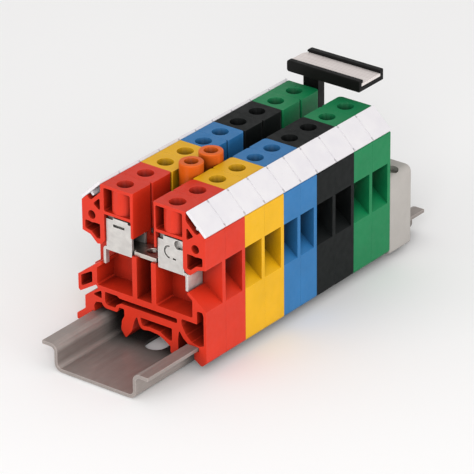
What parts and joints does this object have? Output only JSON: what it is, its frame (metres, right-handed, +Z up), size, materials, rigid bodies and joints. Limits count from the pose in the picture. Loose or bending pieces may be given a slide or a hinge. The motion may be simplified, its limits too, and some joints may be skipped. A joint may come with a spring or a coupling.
{
  "type": "din rail terminal block",
  "caption": "Row of screw-clamp terminal blocks snapped on a top-hat rail, with marker strips, a screw jumper, an end bracket and a label holder.",
  "frame": {"origin": "on the rail's underside, on its centre line, under the open front face of the first block", "axes": "+X across the rail towards the blocks' fixed feet, +Y along the rail towards the end bracket, +Z up from the rail through the screw heads"},
  "size_m": [0.0435, 0.1217, 0.0513],
  "materials": {
    "rail_steel": "zinc-plated rolled strip, satin",
    "red_plastic": "moulded polyamide, satin",
    "yellow_plastic": "moulded polyamide, satin",
    "blue_plastic": "moulded polyamide, satin",
    "black_plastic": "moulded polyamide, satin",
    "green_plastic": "moulded polyamide, satin",
    "cage_steel": "zinc-plated pressed steel",
    "screw_steel": "zinc-plated",
    "tinned_brass": "tin-plated",
    "orange_plastic": "moulded polyamide, satin",
    "marker_white": "smooth matt",
    "grey_plastic": "moulded polyamide, satin",
    "holder_black": "moulded polyamide, satin",
    "label_sheet": "finely ribbed film"
  },
  "bodies": {
    "rail": {"din_rail": "rail_steel"},
    "block_stack": {"red_housing_1": "red_plastic", "red_housing_2": "red_plastic", "yellow_housing_1": "yellow_plastic", "yellow_housing_2": "yellow_plastic", "blue_housing_1": "blue_plastic", "blue_housing_2": "blue_plastic", "black_housing_1": "black_plastic", "black_housing_2": "black_plastic", "green_housing_1": "green_plastic", "green_housing_2": "green_plastic", "conductor_bars": "tinned_brass", "jumper_sleeves": "orange_plastic", "marker_strips": "marker_white"},
    "clamp_cage_left_1": {"clamp_cage_left_1": "cage_steel"},
    "clamp_screw_left_1": {"clamp_screw_left_1": "screw_steel"},
    "clamp_cage_right_1": {"clamp_cage_right_1": "cage_steel"},
    "clamp_screw_right_1": {"clamp_screw_right_1": "screw_steel"},
    "clamp_cage_left_2": {"clamp_cage_left_2": "cage_steel"},
    "clamp_screw_left_2": {"clamp_screw_left_2": "screw_steel"},
    "clamp_cage_right_2": {"clamp_cage_right_2": "cage_steel"},
    "clamp_screw_right_2": {"clamp_screw_right_2": "screw_steel"},
    "clamp_cage_left_3": {"clamp_cage_left_3": "cage_steel"},
    "clamp_screw_left_3": {"clamp_screw_left_3": "screw_steel"},
    "clamp_cage_right_3": {"clamp_cage_right_3": "cage_steel"},
    "clamp_screw_right_3": {"clamp_screw_right_3": "screw_steel"},
    "clamp_cage_left_4": {"clamp_cage_left_4": "cage_steel"},
    "clamp_screw_left_4": {"clamp_screw_left_4": "screw_steel"},
    "clamp_cage_right_4": {"clamp_cage_right_4": "cage_steel"},
    "clamp_screw_right_4": {"clamp_screw_right_4": "screw_steel"},
    "clamp_cage_left_5": {"clamp_cage_left_5": "cage_steel"},
    "clamp_screw_left_5": {"clamp_screw_left_5": "screw_steel"},
    "clamp_cage_right_5": {"clamp_cage_right_5": "cage_steel"},
    "clamp_screw_right_5": {"clamp_screw_right_5": "screw_steel"},
    "clamp_cage_left_6": {"clamp_cage_left_6": "cage_steel"},
    "clamp_screw_left_6": {"clamp_screw_left_6": "screw_steel"},
    "clamp_cage_right_6": {"clamp_cage_right_6": "cage_steel"},
    "clamp_screw_right_6": {"clamp_screw_right_6": "screw_steel"},
    "clamp_cage_left_7": {"clamp_cage_left_7": "cage_steel"},
    "clamp_screw_left_7": {"clamp_screw_left_7": "screw_steel"},
    "clamp_cage_right_7": {"clamp_cage_right_7": "cage_steel"},
    "clamp_screw_right_7": {"clamp_screw_right_7": "screw_steel"},
    "clamp_cage_left_8": {"clamp_cage_left_8": "cage_steel"},
    "clamp_screw_left_8": {"clamp_screw_left_8": "screw_steel"},
    "clamp_cage_right_8": {"clamp_cage_right_8": "cage_steel"},
    "clamp_screw_right_8": {"clamp_screw_right_8": "screw_steel"},
    "clamp_cage_left_9": {"clamp_cage_left_9": "cage_steel"},
    "clamp_screw_left_9": {"clamp_screw_left_9": "screw_steel"},
    "clamp_cage_right_9": {"clamp_cage_right_9": "cage_steel"},
    "clamp_screw_right_9": {"clamp_screw_right_9": "screw_steel"},
    "clamp_cage_left_10": {"clamp_cage_left_10": "cage_steel"},
    "clamp_screw_left_10": {"clamp_screw_left_10": "screw_steel"},
    "clamp_cage_right_10": {"clamp_cage_right_10": "cage_steel"},
    "clamp_screw_right_10": {"clamp_screw_right_10": "screw_steel"},
    "jumper_screw_1": {"jumper_screw_1": "screw_steel"},
    "jumper_screw_2": {"jumper_screw_2": "screw_steel"},
    "end_bracket": {"end_bracket": "grey_plastic"},
    "end_bracket_screw": {"end_bracket_screw": "screw_steel"},
    "label_holder": {"label_holder": "holder_black"},
    "label_card": {"label_card": "label_sheet"}
  },
  "joints": [
    {"name": "stack_slide", "type": "slide", "parent": "rail", "child": "block_stack", "axis": [0, -1, 0], "range_m": [0, 0.0195]},
    {"name": "clamp_screw_left_1_turn", "type": "hinge", "parent": "block_stack", "child": "clamp_screw_left_1", "pos_m": [-0.00855, 0.00373, 0.038], "axis": [0, 0, 1], "range_deg": [0, 2521]},
    {"name": "clamp_cage_left_1_travel", "type": "slide", "parent": "block_stack", "child": "clamp_cage_left_1", "axis": [0, 0, -1], "range_m": [0, 0.0042]},
    {"name": "clamp_screw_right_1_turn", "type": "hinge", "parent": "block_stack", "child": "clamp_screw_right_1", "pos_m": [0.00855, 0.00373, 0.038], "axis": [0, 0, 1], "range_deg": [0, 2521]},
    {"name": "clamp_cage_right_1_travel", "type": "slide", "parent": "block_stack", "child": "clamp_cage_right_1", "axis": [0, 0, -1], "range_m": [0, 0.0042]},
    {"name": "clamp_screw_left_2_turn", "type": "hinge", "parent": "block_stack", "child": "clamp_screw_left_2", "pos_m": [-0.00855, 0.01202, 0.038], "axis": [0, 0, 1], "range_deg": [0, 2521]},
    {"name": "clamp_cage_left_2_travel", "type": "slide", "parent": "block_stack", "child": "clamp_cage_left_2", "axis": [0, 0, -1], "range_m": [0, 0.0042]},
    {"name": "clamp_screw_right_2_turn", "type": "hinge", "parent": "block_stack", "child": "clamp_screw_right_2", "pos_m": [0.00855, 0.01202, 0.038], "axis": [0, 0, 1], "range_deg": [0, 2521]},
    {"name": "clamp_cage_right_2_travel", "type": "slide", "parent": "block_stack", "child": "clamp_cage_right_2", "axis": [0, 0, -1], "range_m": [0, 0.0042]},
    {"name": "clamp_screw_left_3_turn", "type": "hinge", "parent": "block_stack", "child": "clamp_screw_left_3", "pos_m": [-0.00855, 0.02032, 0.038], "axis": [0, 0, 1], "range_deg": [0, 2521]},
    {"name": "clamp_cage_left_3_travel", "type": "slide", "parent": "block_stack", "child": "clamp_cage_left_3", "axis": [0, 0, -1], "range_m": [0, 0.0042]},
    {"name": "clamp_screw_right_3_turn", "type": "hinge", "parent": "block_stack", "child": "clamp_screw_right_3", "pos_m": [0.00855, 0.02032, 0.038], "axis": [0, 0, 1], "range_deg": [0, 2521]},
    {"name": "clamp_cage_right_3_travel", "type": "slide", "parent": "block_stack", "child": "clamp_cage_right_3", "axis": [0, 0, -1], "range_m": [0, 0.0042]},
    {"name": "clamp_screw_left_4_turn", "type": "hinge", "parent": "block_stack", "child": "clamp_screw_left_4", "pos_m": [-0.00855, 0.02863, 0.038], "axis": [0, 0, 1], "range_deg": [0, 2521]},
    {"name": "clamp_cage_left_4_travel", "type": "slide", "parent": "block_stack", "child": "clamp_cage_left_4", "axis": [0, 0, -1], "range_m": [0, 0.0042]},
    {"name": "clamp_screw_right_4_turn", "type": "hinge", "parent": "block_stack", "child": "clamp_screw_right_4", "pos_m": [0.00855, 0.02863, 0.038], "axis": [0, 0, 1], "range_deg": [0, 2521]},
    {"name": "clamp_cage_right_4_travel", "type": "slide", "parent": "block_stack", "child": "clamp_cage_right_4", "axis": [0, 0, -1], "range_m": [0, 0.0042]},
    {"name": "clamp_screw_left_5_turn", "type": "hinge", "parent": "block_stack", "child": "clamp_screw_left_5", "pos_m": [-0.00855, 0.03637, 0.038], "axis": [0, 0, 1], "range_deg": [0, 2521]},
    {"name": "clamp_cage_left_5_travel", "type": "slide", "parent": "block_stack", "child": "clamp_cage_left_5", "axis": [0, 0, -1], "range_m": [0, 0.0042]},
    {"name": "clamp_screw_right_5_turn", "type": "hinge", "parent": "block_stack", "child": "clamp_screw_right_5", "pos_m": [0.00855, 0.03637, 0.038], "axis": [0, 0, 1], "range_deg": [0, 2521]},
    {"name": "clamp_cage_right_5_travel", "type": "slide", "parent": "block_stack", "child": "clamp_cage_right_5", "axis": [0, 0, -1], "range_m": [0, 0.0042]},
    {"name": "clamp_screw_left_6_turn", "type": "hinge", "parent": "block_stack", "child": "clamp_screw_left_6", "pos_m": [-0.00855, 0.04358, 0.038], "axis": [0, 0, 1], "range_deg": [0, 2521]},
    {"name": "clamp_cage_left_6_travel", "type": "slide", "parent": "block_stack", "child": "clamp_cage_left_6", "axis": [0, 0, -1], "range_m": [0, 0.0042]},
    {"name": "clamp_screw_right_6_turn", "type": "hinge", "parent": "block_stack", "child": "clamp_screw_right_6", "pos_m": [0.00855, 0.04358, 0.038], "axis": [0, 0, 1], "range_deg": [0, 2521]},
    {"name": "clamp_cage_right_6_travel", "type": "slide", "parent": "block_stack", "child": "clamp_cage_right_6", "axis": [0, 0, -1], "range_m": [0, 0.0042]},
    {"name": "clamp_screw_left_7_turn", "type": "hinge", "parent": "block_stack", "child": "clamp_screw_left_7", "pos_m": [-0.00855, 0.05133, 0.038], "axis": [0, 0, 1], "range_deg": [0, 2521]},
    {"name": "clamp_cage_left_7_travel", "type": "slide", "parent": "block_stack", "child": "clamp_cage_left_7", "axis": [0, 0, -1], "range_m": [0, 0.0042]},
    {"name": "clamp_screw_right_7_turn", "type": "hinge", "parent": "block_stack", "child": "clamp_screw_right_7", "pos_m": [0.00855, 0.05133, 0.038], "axis": [0, 0, 1], "range_deg": [0, 2521]},
    {"name": "clamp_cage_right_7_travel", "type": "slide", "parent": "block_stack", "child": "clamp_cage_right_7", "axis": [0, 0, -1], "range_m": [0, 0.0042]},
    {"name": "clamp_screw_left_8_turn", "type": "hinge", "parent": "block_stack", "child": "clamp_screw_left_8", "pos_m": [-0.00855, 0.05962, 0.038], "axis": [0, 0, 1], "range_deg": [0, 2521]},
    {"name": "clamp_cage_left_8_travel", "type": "slide", "parent": "block_stack", "child": "clamp_cage_left_8", "axis": [0, 0, -1], "range_m": [0, 0.0042]},
    {"name": "clamp_screw_right_8_turn", "type": "hinge", "parent": "block_stack", "child": "clamp_screw_right_8", "pos_m": [0.00855, 0.05962, 0.038], "axis": [0, 0, 1], "range_deg": [0, 2521]},
    {"name": "clamp_cage_right_8_travel", "type": "slide", "parent": "block_stack", "child": "clamp_cage_right_8", "axis": [0, 0, -1], "range_m": [0, 0.0042]},
    {"name": "clamp_screw_left_9_turn", "type": "hinge", "parent": "block_stack", "child": "clamp_screw_left_9", "pos_m": [-0.00855, 0.06792, 0.038], "axis": [0, 0, 1], "range_deg": [0, 2521]},
    {"name": "clamp_cage_left_9_travel", "type": "slide", "parent": "block_stack", "child": "clamp_cage_left_9", "axis": [0, 0, -1], "range_m": [0, 0.0042]},
    {"name": "clamp_screw_right_9_turn", "type": "hinge", "parent": "block_stack", "child": "clamp_screw_right_9", "pos_m": [0.00855, 0.06792, 0.038], "axis": [0, 0, 1], "range_deg": [0, 2521]},
    {"name": "clamp_cage_right_9_travel", "type": "slide", "parent": "block_stack", "child": "clamp_cage_right_9", "axis": [0, 0, -1], "range_m": [0, 0.0042]},
    {"name": "clamp_screw_left_10_turn", "type": "hinge", "parent": "block_stack", "child": "clamp_screw_left_10", "pos_m": [-0.00855, 0.07623, 0.038], "axis": [0, 0, 1], "range_deg": [0, 2521]},
    {"name": "clamp_cage_left_10_travel", "type": "slide", "parent": "block_stack", "child": "clamp_cage_left_10", "axis": [0, 0, -1], "range_m": [0, 0.0042]},
    {"name": "clamp_screw_right_10_turn", "type": "hinge", "parent": "block_stack", "child": "clamp_screw_right_10", "pos_m": [0.00855, 0.07623, 0.038], "axis": [0, 0, 1], "range_deg": [0, 2521]},
    {"name": "clamp_cage_right_10_travel", "type": "slide", "parent": "block_stack", "child": "clamp_cage_right_10", "axis": [0, 0, -1], "range_m": [0, 0.0042]},
    {"name": "jumper_screw_1_turn", "type": "hinge", "parent": "block_stack", "child": "jumper_screw_1", "pos_m": [0, 0.02032, 0.0325], "axis": [0, 0, 1], "range_deg": [0, 1440]},
    {"name": "jumper_screw_2_turn", "type": "hinge", "parent": "block_stack", "child": "jumper_screw_2", "pos_m": [0, 0.02863, 0.0325], "axis": [0, 0, 1], "range_deg": [0, 1440]},
    {"name": "bracket_slide", "type": "slide", "parent": "rail", "child": "end_bracket", "axis": [0, 1, 0], "range_m": [0, 0.0095]},
    {"name": "bracket_screw_turn", "type": "hinge", "parent": "end_bracket", "child": "end_bracket_screw", "pos_m": [0.017, 0.08523, 0.022], "axis": [0, 0, 1], "range_deg": [0, 1080]},
    {"name": "label_height", "type": "slide", "parent": "end_bracket", "child": "label_holder", "axis": [0, 0, 1], "range_m": [0, 0.012]},
    {"name": "label_card_slide", "type": "slide", "parent": "label_holder", "child": "label_card", "axis": [-1, 0, 0], "range_m": [0, 0.02]}
  ],
  "couplings": [
    {"joint": "clamp_screw_left_1_turn", "follows": "clamp_cage_left_1_travel", "rad_per_m": 10472},
    {"joint": "clamp_screw_right_1_turn", "follows": "clamp_cage_right_1_travel", "rad_per_m": 10472},
    {"joint": "clamp_screw_left_2_turn", "follows": "clamp_cage_left_2_travel", "rad_per_m": 10472},
    {"joint": "clamp_screw_right_2_turn", "follows": "clamp_cage_right_2_travel", "rad_per_m": 10472},
    {"joint": "clamp_screw_left_3_turn", "follows": "clamp_cage_left_3_travel", "rad_per_m": 10472},
    {"joint": "clamp_screw_right_3_turn", "follows": "clamp_cage_right_3_travel", "rad_per_m": 10472},
    {"joint": "clamp_screw_left_4_turn", "follows": "clamp_cage_left_4_travel", "rad_per_m": 10472},
    {"joint": "clamp_screw_right_4_turn", "follows": "clamp_cage_right_4_travel", "rad_per_m": 10472},
    {"joint": "clamp_screw_left_5_turn", "follows": "clamp_cage_left_5_travel", "rad_per_m": 10472},
    {"joint": "clamp_screw_right_5_turn", "follows": "clamp_cage_right_5_travel", "rad_per_m": 10472},
    {"joint": "clamp_screw_left_6_turn", "follows": "clamp_cage_left_6_travel", "rad_per_m": 10472},
    {"joint": "clamp_screw_right_6_turn", "follows": "clamp_cage_right_6_travel", "rad_per_m": 10472},
    {"joint": "clamp_screw_left_7_turn", "follows": "clamp_cage_left_7_travel", "rad_per_m": 10472},
    {"joint": "clamp_screw_right_7_turn", "follows": "clamp_cage_right_7_travel", "rad_per_m": 10472},
    {"joint": "clamp_screw_left_8_turn", "follows": "clamp_cage_left_8_travel", "rad_per_m": 10472},
    {"joint": "clamp_screw_right_8_turn", "follows": "clamp_cage_right_8_travel", "rad_per_m": 10472},
    {"joint": "clamp_screw_left_9_turn", "follows": "clamp_cage_left_9_travel", "rad_per_m": 10472},
    {"joint": "clamp_screw_right_9_turn", "follows": "clamp_cage_right_9_travel", "rad_per_m": 10472},
    {"joint": "clamp_screw_left_10_turn", "follows": "clamp_cage_left_10_travel", "rad_per_m": 10472},
    {"joint": "clamp_screw_right_10_turn", "follows": "clamp_cage_right_10_travel", "rad_per_m": 10472}
  ]
}
